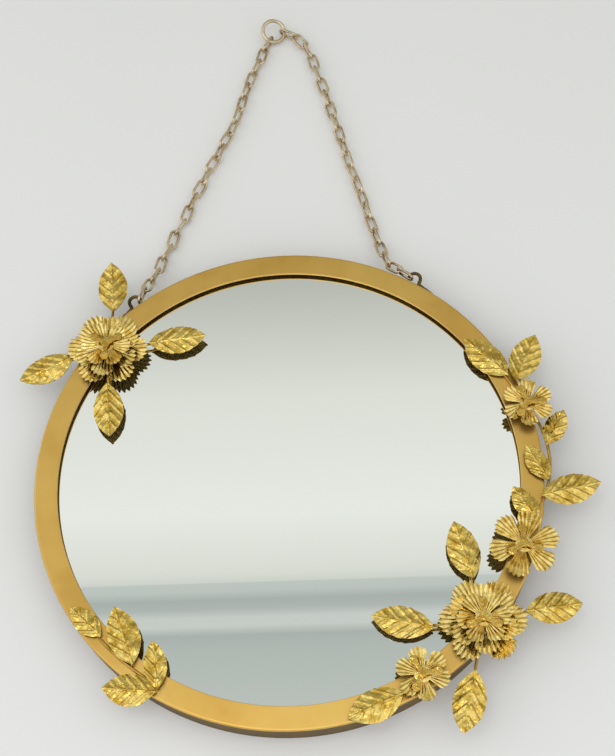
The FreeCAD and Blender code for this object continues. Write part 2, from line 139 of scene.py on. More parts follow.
def addNode(owner, kind, inputs, stops=(), **settings):
    # stops are a colour ramp's places and colours
    node = owner.node_tree.nodes.new(kind)
    for name, value in settings.items():
        setattr(node, name, value)
    while stops and len(node.color_ramp.elements) < len(stops):
        node.color_ramp.elements.new(0.5)
    for number, (place, text) in enumerate(stops):
        node.color_ramp.elements[number].position = place
        node.color_ramp.elements[number].color = colour(text)
    for socket, value in inputs.items():
        if isinstance(value, bpy.types.NodeSocket):
            owner.node_tree.links.new(value, node.inputs[socket])
        else:
            node.inputs[socket].default_value = value
    return node


def newMaterial(name):
    material = bpy.data.materials.new(name)
    material.use_nodes = True
    material.node_tree.nodes.clear()
    where = addNode(material, "ShaderNodeTexCoord", {}).outputs["Object"]
    return material, where


# the Mix node has a pair of inputs for each data type
mixValues = (2, 3)
mixColours = (6, 7)
mixedColour = 2


# what all the worn metals share: noise details, the noise levels where each change starts and ends
wear = {"patchDetail": 4, "tarnishDetail": 6, "skinDetail": 3, "tarnishFrom": 0.58, "tarnishTo": 0.78,
        "roughFrom": 0.3, "roughTo": 0.7, "backFrom": 0.1, "backTo": -0.2, "backRough": 0.6}


def wornMetal(name, look):
    # metal with patches of a second colour, spots of tarnish and a fine grain
    material, where = newMaterial(name)
    patches = addNode(material, "ShaderNodeTexNoise", {
        "Vector": where, "Scale": perMetre(look["patchSize"]), "Detail": wear["patchDetail"]})
    ramp = addNode(material, "ShaderNodeValToRGB", {"Fac": patches.outputs["Fac"]},
                   stops=list(zip(look["spread"], look["colours"])))
    tarnish = addNode(material, "ShaderNodeTexNoise", {
        "Vector": where, "Scale": perMetre(look["tarnishSize"]), "Detail": wear["tarnishDetail"]})
    spots = addNode(material, "ShaderNodeMapRange", {
        "Value": tarnish.outputs["Fac"], "From Min": wear["tarnishFrom"], "From Max": wear["tarnishTo"],
        "To Max": look["tarnish"]})
    spotted = addNode(material, "ShaderNodeMix", {
        "Factor": spots.outputs[0], mixColours[0]: ramp.outputs["Color"],
        mixColours[1]: colour(look["tarnishColour"])}, data_type="RGBA")
    rough = addNode(material, "ShaderNodeMapRange", {
        "Value": patches.outputs["Fac"], "From Min": wear["roughFrom"], "From Max": wear["roughTo"],
        "To Min": look["rough"][0], "To Max": look["rough"][1]})
    tint, dullness = spotted.outputs[mixedColour], rough.outputs[0]
    if "underside" in look:
        # faces turned downwards get a darker, duller colour: partly the raw ungilded back, partly painted
        # shade where the undersides get no light
        normal = addNode(material, "ShaderNodeTexCoord", {}).outputs["Normal"]
        facing = addNode(material, "ShaderNodeSeparateXYZ", {"Vector": normal})
        back = addNode(material, "ShaderNodeMapRange", {
            "Value": facing.outputs["Z"], "From Min": wear["backFrom"], "From Max": wear["backTo"]})
        rawBackAndShade = addNode(material, "ShaderNodeMix", {
            "Factor": back.outputs[0], mixColours[0]: tint, mixColours[1]: colour(look["underside"])},
            data_type="RGBA")
        duller = addNode(material, "ShaderNodeMix", {
            "Factor": back.outputs[0], mixValues[0]: dullness, mixValues[1]: wear["backRough"]})
        tint, dullness = rawBackAndShade.outputs[mixedColour], duller.outputs[0]
    # the real grain is too fine to show, so it is drawn at about a millimetre
    skin = addNode(material, "ShaderNodeTexNoise", {
        "Vector": where, "Scale": perMetre(look["grainSize"]), "Detail": wear["skinDetail"]})
    bump = addNode(material, "ShaderNodeBump", {
        "Height": skin.outputs["Fac"], "Strength": look["grain"], "Distance": look["grainDepth"] * mm})
    shader = addNode(material, "ShaderNodeBsdfPrincipled", {
        "Base Color": tint, "Metallic": look["metallic"], "Roughness": dullness,
        "Normal": bump.outputs["Normal"]})
    addNode(material, "ShaderNodeOutputMaterial", {"Surface": shader.outputs[0]})
    return material


# satin gilt brass strip: an even warm gold with a soft sheen
satinGilt = wornMetal("satin_gilt_brass", {
    "colours": ("#D4A855", "#E0B965"), "spread": (0.35, 0.65), "patchSize": 45,
    "tarnishColour": "#7A5A26", "tarnish": 0.06, "tarnishSize": 9, "rough": (0.3, 0.4),
    "grainSize": 0.8, "grain": 0.12, "grainDepth": 0.2, "metallic": 1})
# gold leaf over stamped sheet: bright, crumpled, with browner hollows; its underside colour is the raw back
# darkened further as painted shade
goldLeaf = wornMetal("gold_leaf_on_stamped_sheet", {
    "colours": ("#C29E40", "#E5C970"), "spread": (0.36, 0.6), "patchSize": 6,
    "tarnishColour": "#86662C", "tarnish": 0.45, "tarnishSize": 2.6, "rough": (0.09, 0.2),
    "grainSize": 1.2, "grain": 0.35, "grainDepth": 0.45, "metallic": 1, "underside": "#8A7646"})
# gold leaf over pleated sheet: the same leaf, rubbed on its folds; its underside colour is the raw back
# darkened further as painted shade
goldPetal = wornMetal("gold_leaf_on_pleated_sheet", {
    "colours": ("#C6A650", "#ECD384"), "spread": (0.36, 0.6), "patchSize": 5,
    "tarnishColour": "#80602A", "tarnish": 0.6, "tarnishSize": 3, "rough": (0.09, 0.2),
    "grainSize": 1.3, "grain": 0.45, "grainDepth": 0.4, "metallic": 1, "underside": "#8A7646"})
# thick stamped gilt: smooth, polished on its high places
brightGilt = wornMetal("polished_gilt_stamping", {
    "colours": ("#BA933E", "#D8B45B"), "spread": (0.36, 0.6), "patchSize": 6,
    "tarnishColour": "#80602A", "tarnish": 0.4, "tarnishSize": 3, "rough": (0.11, 0.2),
    "grainSize": 1.5, "grain": 0.2, "grainDepth": 0.3, "metallic": 1})
# drawn brass wire, gilded: smooth and a little darker than the leaves
giltWire = wornMetal("gilt_brass_wire", {
    "colours": ("#A5803A", "#C9A353"), "spread": (0.35, 0.65), "patchSize": 6,
    "tarnishColour": "#5E4319", "tarnish": 0.6, "tarnishSize": 4, "rough": (0.28, 0.4),
    "grainSize": 1, "grain": 0.2, "grainDepth": 0.2, "metallic": 1})
# pale brass plate on chain: pinkish, polished where the links rub
paleBrass = wornMetal("pale_brass_plate", {
    "colours": ("#BCA784", "#DECEB1"), "spread": (0.35, 0.65), "patchSize": 8,
    "tarnishColour": "#6E5A3E", "tarnish": 0.65, "tarnishSize": 3, "rough": (0.2, 0.34),
    "grainSize": 0.8, "grain": 0.15, "grainDepth": 0.15, "metallic": 1})
# brass wire gone dark with age: brown, with a dull shine
darkBrass = wornMetal("darkened_brass_wire", {
    "colours": ("#4B3B22", "#7C6339"), "spread": (0.35, 0.65), "patchSize": 5,
    "tarnishColour": "#2A2013", "tarnish": 0.7, "tarnishSize": 3, "rough": (0.28, 0.45),
    "grainSize": 0.9, "grain": 0.2, "grainDepth": 0.2, "metallic": 1})
# the steel hoop in a dark, dull brown-gold: partly its own bronze paint, partly painted shade of the unlit
# side wall
bronzeAndShadePaint = wornMetal("bronze_paint_and_painted_shade_on_steel", {
    "colours": ("#554012", "#6E561C"), "spread": (0.3, 0.7), "patchSize": 25,
    "tarnishColour": "#2C2110", "tarnish": 0.6, "tarnishSize": 7, "rough": (0.5, 0.62),
    "grainSize": 0.7, "grain": 0.2, "grainDepth": 0.2, "metallic": 0.3})
# plain rolled steel strip of the clips: grey, with a soft shine
rolledSteel = wornMetal("rolled_steel_strip", {
    "colours": ("#8B8C8C", "#B2B3B2"), "spread": (0.35, 0.65), "patchSize": 7,
    "tarnishColour": "#5B4A3A", "tarnish": 0.5, "tarnishSize": 4, "rough": (0.3, 0.45),
    "grainSize": 0.6, "grain": 0.2, "grainDepth": 0.1, "metallic": 1})

# silvered float glass: a clean reflection with a faint green-grey tint
glassLook = {"colour": "#EFF1ED", "hazeSize": 60, "hazeDetail": 5, "hazeFrom": 0.35, "hazeTo": 0.75,
             "rough": (0.006, 0.022)}


def silveredGlass():
    material, where = newMaterial("silvered_float_glass")
    film = addNode(material, "ShaderNodeTexNoise", {
        "Vector": where, "Scale": perMetre(glassLook["hazeSize"]), "Detail": glassLook["hazeDetail"]})
    haze = addNode(material, "ShaderNodeMapRange", {
        "Value": film.outputs["Fac"], "From Min": glassLook["hazeFrom"], "From Max": glassLook["hazeTo"],
        "To Min": glassLook["rough"][0], "To Max": glassLook["rough"][1]})
    shader = addNode(material, "ShaderNodeBsdfPrincipled", {
        "Base Color": colour(glassLook["colour"]), "Metallic": 1, "Roughness": haze.outputs[0]})
    addNode(material, "ShaderNodeOutputMaterial", {"Surface": shader.outputs[0]})
    return material


# hardboard: brown pressed fibre with a fine mottled grain
boardLook = {"stops": ((0.3, "#5E4227"), (0.7, "#8E6A42")), "fibreSize": 2.2, "fibreDetail": 8,
             "fibreRough": 0.7, "bump": 0.4, "bumpDepth": 0.3, "rough": 0.75}


def pressedBoard():
    material, where = newMaterial("hardboard")
    fibre = addNode(material, "ShaderNodeTexNoise", {
        "Vector": where, "Scale": perMetre(boardLook["fibreSize"]), "Detail": boardLook["fibreDetail"],
        "Roughness": boardLook["fibreRough"]})
    ramp = addNode(material, "ShaderNodeValToRGB", {"Fac": fibre.outputs["Fac"]}, stops=boardLook["stops"])
    bump = addNode(material, "ShaderNodeBump", {
        "Height": fibre.outputs["Fac"], "Strength": boardLook["bump"],
        "Distance": boardLook["bumpDepth"] * mm})
    shader = addNode(material, "ShaderNodeBsdfPrincipled", {
        "Base Color": ramp.outputs["Color"], "Roughness": boardLook["rough"],
        "Normal": bump.outputs["Normal"]})
    addNode(material, "ShaderNodeOutputMaterial", {"Surface": shader.outputs[0]})
    return material


# black packing: matt with a slightly dusty skin
packingLook = {"stops": ((0, "#0E0D0B"), (1, "#2A2620")), "dustSize": 3, "dustDetail": 5, "rough": 0.8}


def packingStrip():
    material, where = newMaterial("black_rubber_packing")
    dust = addNode(material, "ShaderNodeTexNoise", {
        "Vector": where, "Scale": perMetre(packingLook["dustSize"]), "Detail": packingLook["dustDetail"]})
    ramp = addNode(material, "ShaderNodeValToRGB", {"Fac": dust.outputs["Fac"]}, stops=packingLook["stops"])
    shader = addNode(material, "ShaderNodeBsdfPrincipled", {
        "Base Color": ramp.outputs["Color"], "Roughness": packingLook["rough"]})
    addNode(material, "ShaderNodeOutputMaterial", {"Surface": shader.outputs[0]})
    return material


# finishes of the frame's nodes: chain and ring are pale brass, all that isn't named here is gilt wire
# the rim's dark brown finish includes painted shade of its unlit side wall
nodeFinish = {"frame_rim": bronzeAndShadePaint, "mirror_glass": silveredGlass(), "packing_ring": packingStrip(),
              "backing_board": pressedBoard(), "backing_clips": rolledSteel,
              "left_hanger_hook": darkBrass, "right_hanger_hook": darkBrass}
for name, node in frame["nodes"].items():
    finish = nodeFinish.get(name)
    if finish is None:
        finish = paleBrass if "chain" in name or name == "hanging_ring" else giltWire
    node.data.materials.clear()
    node.data.materials.append(finish)
print("finishes on the frame's nodes")

# the front band: a flat washer with its edges rubbed round, as radius and height round the section
band = {"sides": 288, "closeReach": 0.01, "smooth": 15,
        "profile": ((159, 22.5), (159, 23.7), (159.09, 23.91), (159.3, 24), (159.6, 24), (173.4, 24),
                    (173.7, 24), (174.4, 23.82), (174.85, 23.38), (175, 22.8), (175, 22.5))}


def makeBand():
    firstRadius, firstHeight = band["profile"][0]
    bpy.ops.object.select_all(action="DESELECT")
    bpy.ops.mesh.primitive_circle_add(vertices=band["sides"], radius=firstRadius * mm, location=(0, 0, 0))
    piece = bpy.context.object
    openEdit(piece)
    bpy.ops.mesh.select_all(action="SELECT")
    bpy.ops.transform.translate(value=(0, 0, firstHeight * mm))
    lastRadius, lastHeight = firstRadius, firstHeight
    for radius, height in band["profile"][1:]:
        bpy.ops.mesh.extrude_region_move()
        grow = radius / lastRadius
        bpy.ops.transform.resize(value=(grow, grow, 1), center_override=(0, 0, 0))
        bpy.ops.transform.translate(value=(0, 0, (height - lastHeight) * mm))
        lastRadius, lastHeight = radius, height
    # close the back between the first and the last loop
    low = firstHeight * mm
    pick(piece, lambda co: abs(co.z - low) < band["closeReach"] * mm)
    bpy.ops.mesh.bridge_edge_loops()
    bpy.ops.mesh.select_all(action="SELECT")
    bpy.ops.mesh.normals_make_consistent(inside=False)
    closeEdit()
    finishPiece(piece, "gilt_band", satinGilt, ["frame_band"], band["smooth"])


makeBand()
print("band made")

# hanging ring: a length of round wire bent to a circle, with a butt seam
ringForm = {"radius": 9, "wire": 3, "tilt": 24, "seamAt": 80, "seamGap": 1.8, "sides": 24, "steps": 96,
            "endEdge": 0.25, "endSegments": 2, "endAngle": 60, "smooth": 35}


def makeRing():
    low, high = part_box("hanging_ring")
    middle = (low + high) / 2
    axis = frame["joints"][-1]["axis"]  # ring_tilt is the last joint
    bpy.ops.object.select_all(action="DESELECT")
    bpy.ops.mesh.primitive_circle_add(vertices=ringForm["sides"], radius=ringForm["wire"] * mm / 2,
                                      fill_type="NGON", location=(ringForm["radius"] * mm, 0, 0),
                                      rotation=(math.pi / 2, 0, 0))
    piece = bpy.context.object
    bpy.ops.object.transform_apply(location=True, rotation=True, scale=True)
    openEdit(piece)
    bpy.ops.mesh.select_all(action="SELECT")
    bpy.ops.mesh.spin(steps=ringForm["steps"], angle=math.radians(360 - ringForm["seamGap"]),
                      center=(0, 0, 0), axis=(0, 0, 1))
    bpy.ops.mesh.select_all(action="SELECT")
    bpy.ops.mesh.normals_make_consistent(inside=False)
    closeEdit()
    applyModifier(piece, "BEVEL", width=ringForm["endEdge"] * mm, segments=ringForm["endSegments"],
                  limit_method="ANGLE", angle_limit=math.radians(ringForm["endAngle"]))
    # seam to the top, then tilt about the line through the two links
    startPiece(piece)
    piece.rotation_euler = (0, 0, math.radians(ringForm["seamAt"]))
    bpy.ops.object.transform_apply(location=False, rotation=True, scale=False)
    piece.rotation_mode = "AXIS_ANGLE"
    piece.rotation_axis_angle = (math.radians(ringForm["tilt"]), *axis)
    piece.location = middle
    bpy.ops.object.transform_apply(location=True, rotation=True, scale=True)
    piece.rotation_mode = "XYZ"
    finishPiece(piece, "seamed_hanging_ring", paleBrass, ["hanging_ring"], ringForm["smooth"],
                "ring")


makeRing()
print("ring made")

# hanger hooks: a tapered tail along the rim that rises into a crook
# tail: distance along the rim and share of the wire; foot: along and out; crook: angle, radius and share
hookForm = {"angles": {"left": 124, "right": 54.2}, "hands": {"left": -1, "right": 1}, "railRadius": 175.65,
            "wire": 2.8, "roundness": 6, "smooth": 50, "loopRise": 4.05, "foot": (-5.3, 1.2),
            "tail": ((-18, 0.35), (-13, 0.8), (-8.5, 1.15)),
            "crook": ((-75, 4.3, 0.95), (-30, 4.25, 0.9), (15, 4.2, 0.86), (45, 4.2, 0.85), (75, 4.2, 0.85),
                      (104, 4.2, 0.85))}


def makeHook(side):
    node = side + "_hanger_hook"
    low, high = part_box(node)
    height = (low.z + high.z) / 2
    rail = hookForm["railRadius"] * mm
    hand = hookForm["hands"][side]
    turn = math.radians(hookForm["angles"][side])
    places = []
    for along, thick in hookForm["tail"]:
        angle = turn + hand * along * mm / rail
        places.append((rail * math.cos(angle), rail * math.sin(angle), thick))
    footAlong, footRise = hookForm["foot"]
    outward = [(footRise, footAlong, 1)]
    for angle, radius, thick in hookForm["crook"]:
        lean = math.radians(angle)
        outward.append((hookForm["loopRise"] + radius * math.cos(lean), radius * math.sin(lean), thick))
    for rise, along, thick in outward:
        far, aside = rail + rise * mm, hand * along * mm
        places.append((far * math.cos(turn) - aside * math.sin(turn),
                       far * math.sin(turn) + aside * math.cos(turn), thick))
    bpy.ops.object.select_all(action="DESELECT")
    bpy.ops.curve.primitive_bezier_curve_add(location=(0, 0, 0))
    piece = bpy.context.object
    wire = piece.data
    wire.bevel_depth = hookForm["wire"] * mm / 2
    wire.bevel_resolution = hookForm["roundness"]
    wire.use_fill_caps = True
    points = wire.splines[0].bezier_points
    points.add(len(places) - len(points))
    for point, (x, y, thick) in zip(points, places):
        point.co = (x, y, height)
        point.handle_left_type = point.handle_right_type = "AUTO"
        point.radius = thick
    bpy.ops.object.convert(target="MESH")
    piece = bpy.context.object
    finishPiece(piece, "crook_" + node, darkBrass, [node], hookForm["smooth"])


for side in hookForm["angles"]:
    makeHook(side)
print("hooks made")

# leaves: two stampings, pointed ovals with an arch, a midrib and slanting veins, then crumpled
leafDie = {
    "large": {"length": 41, "width": 21, "rise": 2.0, "veins": 4},
    "small": {"length": 28.5, "width": 15, "rise": 1.4, "veins": 3},
}
# ribs and veins are raised in steps, each over a narrower share of their half width
leafForm = {"along": 64, "across": 36, "pickReach": 0.02, "tipShare": 0.03, "crease": 1.25,
            "ribHalf": 0.6, "ribHeight": 0.4, "ribSteps": (1, 0.55),
            "veinHalf": 0.6, "veinHeight": 0.95, "veinSteps": (1.5, 1.15, 0.8, 0.4),
            "veinSlant": 40, "veinFirst": 0.14, "veinSpan": 0.58,
            "thickness": 0.6, "crumple": 1.8, "crumpleSize": 6.5, "crumpleDepth": 2, "smooth": 40}


def nearVein(co, start, reach):
    slant = math.radians(leafForm["veinSlant"])
    across = abs(co.y)
    off = (co.x - start) * math.sin(slant) - across * math.cos(slant)
    return abs(off) < reach and across > leafForm["ribHalf"] * mm


def makeLeafDie(kind):
    die = leafDie[kind]
    long, half = die["length"] * mm, die["width"] * mm / 2
    reach = leafForm["pickReach"] * mm
    bpy.ops.object.select_all(action="DESELECT")
    bpy.ops.mesh.primitive_grid_add(x_subdivisions=leafForm["along"], y_subdivisions=leafForm["across"],
                                    size=1, location=(0, 0, 0))
    piece = bpy.context.object
    openEdit(piece)
    bpy.ops.mesh.select_all(action="SELECT")
    bpy.ops.transform.resize(value=(long, 2 * half, 1))
    bpy.ops.transform.translate(value=(long / 2, 0, 0))
    # arch it row by row, then draw the rows in to a pointed oval
    for step in range(leafForm["across"] + 1):
        row = half * (2 * step / leafForm["across"] - 1)
        pick(piece, lambda co: abs(co.y - row) < reach)
        bpy.ops.transform.translate(value=(0, 0, -die["rise"] * mm * abs(row / half) ** leafForm["crease"]))
    flank = (long ** 2 + 4 * half ** 2) / (8 * half)  # radius of each side's arc
    for step in range(leafForm["along"] + 1):
        column = long * step / leafForm["along"]
        wide = math.sqrt(flank ** 2 - (column - long / 2) ** 2) - (flank - half)
        share = max(wide / half, leafForm["tipShare"])
        pick(piece, lambda co: abs(co.x - column) < reach)
        bpy.ops.transform.resize(value=(1, share, share ** 2), center_override=(column, 0, 0))
    # midrib and veins are pressed up from behind
    ribLift = leafForm["ribHeight"] / len(leafForm["ribSteps"]) * mm
    veinLift = leafForm["veinHeight"] / len(leafForm["veinSteps"]) * mm
    for part in leafForm["ribSteps"]:
        pick(piece, lambda co: abs(co.y) < leafForm["ribHalf"] * part * mm)
        bpy.ops.transform.translate(value=(0, 0, ribLift))
    for number in range(die["veins"]):
        start = long * (leafForm["veinFirst"] + leafForm["veinSpan"] * number / (die["veins"] - 1))
        for part in leafForm["veinSteps"]:
            pick(piece, lambda co: nearVein(co, start, leafForm["veinHalf"] * part * mm))
            bpy.ops.transform.translate(value=(0, 0, veinLift))
    closeEdit()
    return piece


# stamping of each leaf, its foot as a share of the band's radius and an angle, its heading and length share
leafPlaces = {
    "upper_left_leaf_top": ("large", 1.035, 129.71, 90.7, 1),
    "upper_left_leaf_left": ("large", 1.029, 144.11, 201.5, 1),
    "upper_left_leaf_right": ("large", 0.8204, 129.38, 2.2, 1),
    "upper_left_leaf_bottom": ("large", 0.8394, 146.14, 270.8, 1),
    "pair_leaf_inner": ("large", 0.9747, 19.78, 130.1, 1),
    "pair_leaf_outer": ("large", 0.985, 17.54, 60.5, 0.94),
    "vine_leaf_upper": ("small", 1.0182, 0.73, 56.0, 1),
    "vine_leaf_inner": ("small", 1.0136, 352.41, 112.7, 1),
    "vine_leaf_outer": ("large", 0.9878, 348.63, 7.4, 1),
    "vine_leaf_lower": ("small", 0.9834, 342.49, 117.0, 1),
    "lower_right_leaf_top": ("large", 0.8278, 323.01, 100.5, 1),
    "lower_right_leaf_left": ("large", 0.8302, 306.18, 163.7, 1),
    "lower_right_leaf_right": ("large", 1.0562, 322.57, 1.7, 0.9),
    "lower_right_leaf_bottom": ("large", 1.0489, 306.30, 251.4, 1),
    "bottom_leaf": ("large", 0.9654, 291.27, 199.5, 0.95),
    "lower_left_leaf_1": ("small", 0.9469, 217.81, 132.2, 1),
    "lower_left_leaf_2": ("large", 0.9437, 228.05, 105.2, 1),
    "lower_left_leaf_3": ("small", 0.9688, 235.84, 92.5, 1.1),
    "lower_left_leaf_4": ("large", 0.9795, 235.82, 170.5, 0.85),
}


def makeLeaves():
    dies = {kind: makeLeafDie(kind) for kind in leafDie}
    crumple = bpy.data.textures.new("leafCrumple", "CLOUDS")
    crumple.noise_scale = leafForm["crumpleSize"] * mm
    crumple.noise_depth = leafForm["crumpleDepth"]
    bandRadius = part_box("frame_band")[1].x
    for name, (kind, share, angle, heading, length) in leafPlaces.items():
        startPiece(dies[kind])
        bpy.ops.object.duplicate()
        piece = bpy.context.object
        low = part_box(name)[0]
        away, turn = bandRadius * share, math.radians(angle)
        foot = (away * math.cos(turn), away * math.sin(turn), low.z + leafDie[kind]["rise"] * mm)
        placePiece(piece, foot, heading, length)
        applyModifier(piece, "DISPLACE", texture=crumple, texture_coords="LOCAL", direction="Z",
                      strength=leafForm["crumple"] * mm)
        applyModifier(piece, "SOLIDIFY", thickness=leafForm["thickness"] * mm, offset=1)
        finishPiece(piece, "stamped_" + name, goldLeaf, [name], leafForm["smooth"])
    for die in dies.values():
        startPiece(die)
        bpy.ops.object.delete()


makeLeaves()
print("leaves made:", len(leafPlaces))

# stems: the frame's wires with their coat of solder and gilding
stemForm = {"coat": 0.4, "weld": 0.01, "smooth": 40,
            "nodes": ("upper_left_stems", "lower_right_stems", "short_stems", "vine_stem")}


def makeStem(node):
    startPiece(frame["nodes"][node])
    bpy.ops.object.duplicate()
    piece = bpy.context.object
    del piece["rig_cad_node"]  # the copy is a piece of the scene
    bpy.ops.object.transform_apply(location=True, rotation=True, scale=True)
    openEdit(piece)
    bpy.ops.mesh.select_all(action="SELECT")
    bpy.ops.mesh.remove_doubles(threshold=stemForm["weld"] * mm)
    bpy.ops.transform.shrink_fatten(value=stemForm["coat"] * mm)
    closeEdit()
    finishPiece(piece, "gilded_" + node, giltWire, [node], stemForm["smooth"])


for node in stemForm["nodes"]:
    makeStem(node)
print("stems made")

# flowers: pleated fans with pinked edges, six to a layer, round a plain hub
petalDie = {
    "large": {"radius": 29.6, "pleats": 7, "pleatHeight": 1.2, "slope": 1.5},
    "medium": {"radius": 24.2, "pleats": 6, "pleatHeight": 1.1, "slope": 3.5},
    "small": {"radius": 18.4, "pleats": 5, "pleatHeight": 1.0, "slope": 5.5},
}
petalForm = {"petals": 6, "along": 20, "perPleat": 4, "rootRadius": 3.2, "halfAngle": 24.5,
             "endCentre": 0.62, "rootPleat": 0.2, "pleatGrowth": 0.8, "tooth": 0.085,
             "uneven": 0.4, "wander": 3, "rowReach": 0.005, "columnReach": 0.02, "leanReach": 0.002,
             "hubRadius": 5.6, "hubSides": 48, "hubRise": 0.3, "hubHalf": 0.9, "hubEdge": 1.2,
             "hubDome": 0.25, "thickness": 0.5, "crumple": 0.6, "crumpleSize": 5, "smooth": 24}


def pleatAt(step):
    # 0 in the valley between two pleats, 1 on the ridge
    return 1 - abs(2 * (step % petalForm["perPleat"]) / petalForm["perPleat"] - 1)


def makePetals(name, node, kind, turn):
    radius = petalDie[kind]["radius"] * mm
    root = petalForm["rootRadius"] * mm
    rows = petalDie[kind]["pleats"] * petalForm["perPleat"]
    spread = math.tan(math.radians(petalForm["halfAngle"]))
    rise = math.tan(math.radians(petalDie[kind]["slope"]))
    unit = mm  # half width of the strip and height of its folds, before it is opened out
    bpy.ops.object.select_all(action="DESELECT")
    bpy.ops.mesh.primitive_grid_add(x_subdivisions=petalForm["along"], y_subdivisions=rows, size=1,
                                    location=(0, 0, 0))
    piece = bpy.context.object
    openEdit(piece)
    bpy.ops.mesh.select_all(action="SELECT")
    bpy.ops.transform.resize(value=(radius - root, 2 * unit, 1))
    bpy.ops.transform.translate(value=((radius + root) / 2, 0, 0))
    # fold the rows up and down
    for step in range(rows + 1):
        row = (2 * step / rows - 1) * unit
        pick(piece, lambda co: abs(co.y - row) < petalForm["rowReach"] * mm)
        bpy.ops.transform.translate(value=(0, 0, (pleatAt(step) - 0.5) * unit))
    # open the columns out into a fan
    for step in range(petalForm["along"] + 1):
        out = step / petalForm["along"]
        column = root + (radius - root) * out
        deepening = petalForm["rootPleat"] + (1 - petalForm["rootPleat"]) * out ** petalForm["pleatGrowth"]
        pleat = petalDie[kind]["pleatHeight"] * deepening
        pick(piece, lambda co: abs(co.x - column) < petalForm["columnReach"] * mm)
        bpy.ops.transform.resize(value=(1, column * spread / unit, pleat), center_override=(column, 0, 0))
        bpy.ops.transform.translate(value=(0, 0, (column - root) * rise))
    # round the end to an arc and pink it: a tooth on every fold
    centre = petalForm["endCentre"]
    for step in range(rows + 1):
        lean = spread * (2 * step / rows - 1)
        angle = math.atan(lean)
        arc = centre * math.cos(angle) + math.sqrt((1 - centre) ** 2 - (centre * math.sin(angle)) ** 2)
        tooth = 1 - petalForm["tooth"] * (1 - pleatAt(step))
        short = arc * tooth * math.cos(angle)
        pick(piece, lambda co: abs(co.y - co.x * lean) < petalForm["leanReach"] * co.x)
        bpy.ops.transform.resize(value=(short, short, 1), center_override=(0, 0, 0))
    # copies round the hub, each bent a little differently
    bpy.ops.mesh.select_all(action="SELECT")
    lastBend, lastTurn = 1, 0
    for number in range(1, petalForm["petals"]):
        bend = 1 + petalForm["uneven"] * (2 * random.random() - 1)
        place = 360 / petalForm["petals"] * number + petalForm["wander"] * (2 * random.random() - 1)
        bpy.ops.mesh.duplicate()
        bpy.ops.transform.rotate(value=math.radians(place - lastTurn), orient_axis="Z",
                                 center_override=(0, 0, 0))
        bpy.ops.transform.resize(value=(1, 1, bend / lastBend), center_override=(0, 0, 0))
        lastBend, lastTurn = bend, place
    bpy.ops.mesh.primitive_circle_add(vertices=petalForm["hubSides"], radius=petalForm["hubRadius"] * mm,
                                      fill_type="NGON", location=(0, 0, petalForm["hubRise"] * mm))
    bpy.ops.mesh.inset(thickness=petalForm["hubEdge"] * mm)
    bpy.ops.transform.translate(value=(0, 0, petalForm["hubDome"] * mm))
    closeEdit()
    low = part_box(node)[0]
    placePiece(piece, (*middleOf(node), low.z + petalForm["hubHalf"] * mm), turn)
    crumple = bpy.data.textures.get("petalCrumple") or bpy.data.textures.new("petalCrumple", "CLOUDS")
    crumple.noise_scale = petalForm["crumpleSize"] * mm
    applyModifier(piece, "DISPLACE", texture=crumple, texture_coords="LOCAL", direction="Z",
                  strength=petalForm["crumple"] * mm)
    applyModifier(piece, "SOLIDIFY", thickness=petalForm["thickness"] * mm, offset=0)
    finishPiece(piece, name, goldPetal, [node], petalForm["smooth"])


# stamens: a flat three-armed cross with round ends, its corners run together
stamenForm = {"arms": 3, "reach": 10, "knob": 2.95, "knobSides": 28, "armHalf": 1.75, "thickness": 1.8,
              "grain": 0.22, "softening": 9, "softness": 0.5, "dent": 0.7, "dentSize": 3.5, "smooth": 50}


def addKnob(x, y):
    thick = stamenForm["thickness"] * mm
    bpy.ops.mesh.primitive_cylinder_add(vertices=stamenForm["knobSides"], radius=stamenForm["knob"] * mm,
                                        depth=thick, location=(x, y, thick / 2))


def makeStamen(name, node, middle, turn):
    bpy.ops.object.select_all(action="DESELECT")
    addKnob(0, 0)
    piece = bpy.context.object
    placePiece(piece, piece.location.copy(), 0)
    openEdit(piece)
    reach = stamenForm["reach"] * mm
    thick = stamenForm["thickness"] * mm
    armWide = 2 * stamenForm["armHalf"] * mm
    armMiddle = (reach / 2, 0, thick / 2)
    for number in range(stamenForm["arms"]):
        heading = math.radians(360 / stamenForm["arms"] * number)
        addKnob(reach * math.cos(heading), reach * math.sin(heading))
        bpy.ops.mesh.primitive_cube_add(size=1, location=armMiddle)
        bpy.ops.transform.resize(value=(reach, armWide, thick), center_override=armMiddle)
        bpy.ops.transform.rotate(value=-heading, orient_axis="Z", center_override=(0, 0, 0))
    closeEdit()
    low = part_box(node)[0]
    placePiece(piece, (*middle, low.z), turn)
    dents = bpy.data.textures.get("stamenDents") or bpy.data.textures.new("stamenDents", "CLOUDS")
    dents.noise_scale = stamenForm["dentSize"] * mm
    applyModifier(piece, "REMESH", mode="VOXEL", voxel_size=stamenForm["grain"] * mm)
    applyModifier(piece, "SMOOTH", factor=stamenForm["softness"], iterations=stamenForm["softening"])
    applyModifier(piece, "DISPLACE", texture=dents, texture_coords="LOCAL", direction="Z",
                  strength=stamenForm["dent"] * mm)
    finishPiece(piece, name, brightGilt, [node], stamenForm["smooth"])


# turn of each layer from the back to the front, then of the stamen
flowers = {
    "upper_left_flower": ({"large": -7, "medium": 20, "small": -10}, 24),
    "upper_right_flower": ({"small": 24}, -7),
    "right_flower": ({"medium": 9}, 90),
    "lower_right_flower": ({"large": -5, "medium": 30, "small": 0}, 86),
    "bottom_flower": ({"small": 37}, 0),
}
layerNames = {"large": "back_petals", "medium": "middle_petals", "small": "front_petals"}
for flower, (layers, stamenTurn) in flowers.items():
    for kind, turn in layers.items():
        layer = layerNames[kind] if len(layers) > 1 else "petals"
        node = flower + "_" + layer
        makePetals("pleated_" + node, node, kind, turn)
    # the stamen stands on the middle of the front layer
    makeStamen("stamped_" + flower + "_stamen", flower + "_stamen", middleOf(node), stamenTurn)
print("flowers made:", len(flowers))

